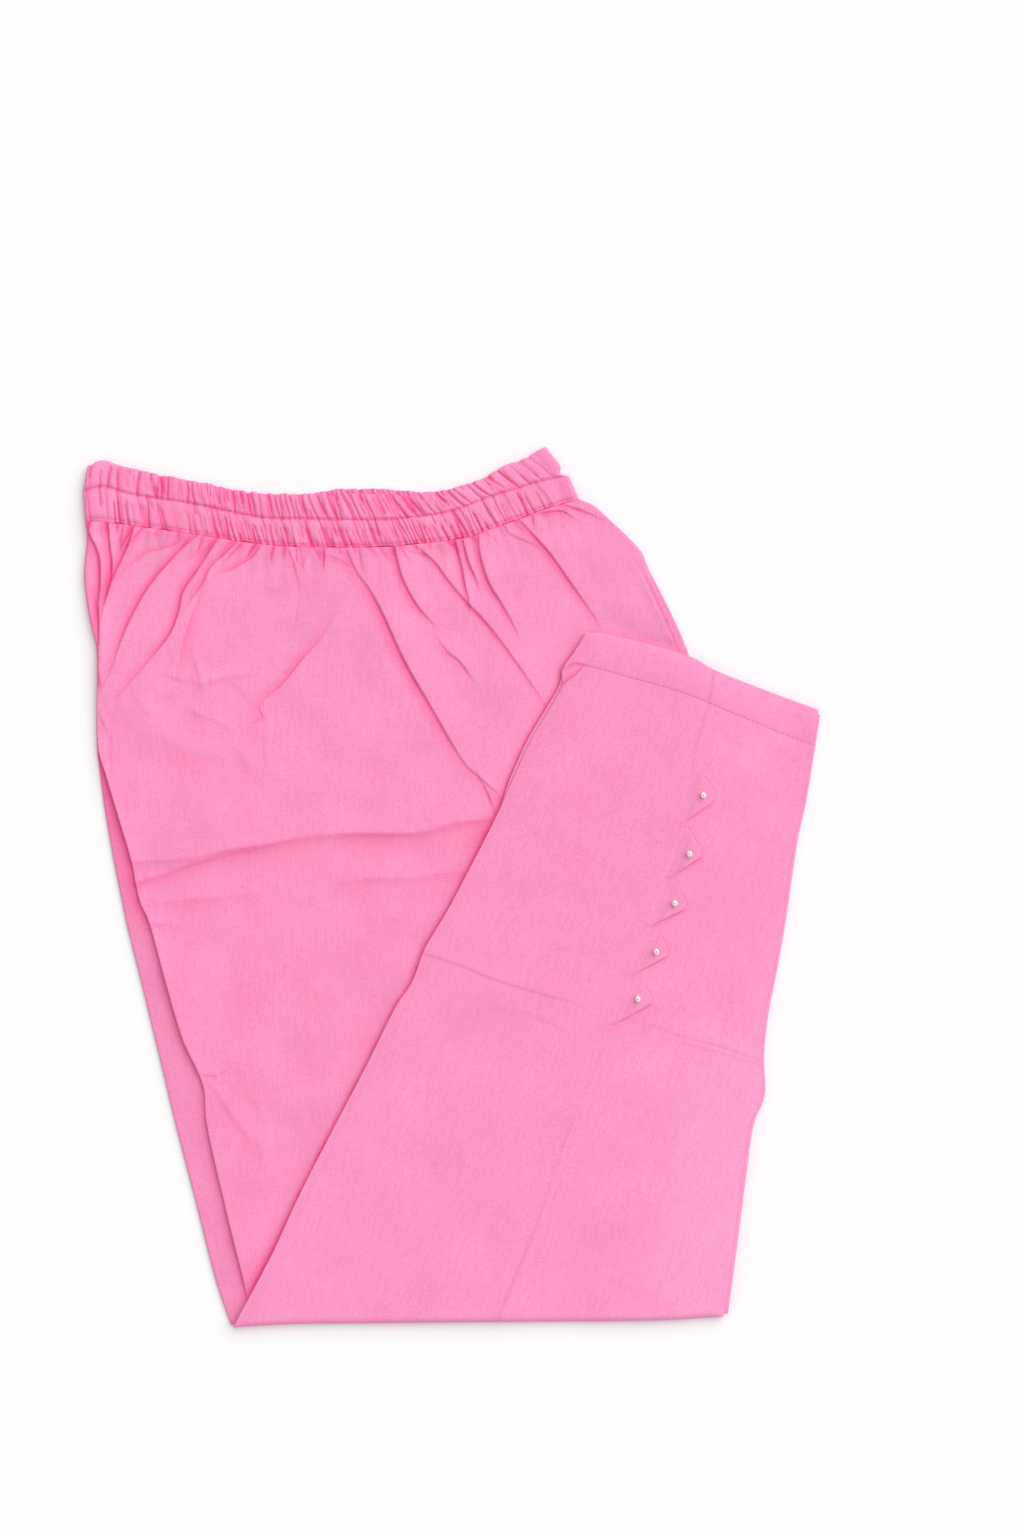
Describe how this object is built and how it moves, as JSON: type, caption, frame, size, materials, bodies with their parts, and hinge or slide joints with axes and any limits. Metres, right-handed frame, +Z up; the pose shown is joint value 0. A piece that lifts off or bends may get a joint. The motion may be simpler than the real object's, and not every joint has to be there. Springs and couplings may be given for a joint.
{
  "type": "folded pyjama pants",
  "caption": "Pull-on cotton pyjama pants laid flat, with a gathered elastic waistband and the tapered lower legs turned up over the body.",
  "frame": {"origin": "on the surface that the pants lie on, under the middle of their outline", "axes": "+Y from the bottom fold towards the waistband, +X to the right seen from above, +Z up from the surface"},
  "size_m": [0.4798, 0.5712, 0.0132],
  "materials": {
    "cotton": "matt plain weave, pink",
    "pearl": "pearly cream"
  },
  "bodies": {
    "root": {"waistband_front": "cotton", "waistband_back": "cotton", "front_left": "cotton", "front_right": "cotton", "back_panels": "cotton", "lower_leg_under": "cotton", "lower_leg_left": "cotton", "lower_leg_right": "cotton", "tab_1": "cotton", "tab_2": "cotton", "tab_3": "cotton", "tab_4": "cotton", "tab_5": "cotton", "pearl_1": "pearl", "pearl_2": "pearl", "pearl_3": "pearl", "pearl_4": "pearl", "pearl_5": "pearl"}
  },
  "joints": []
}
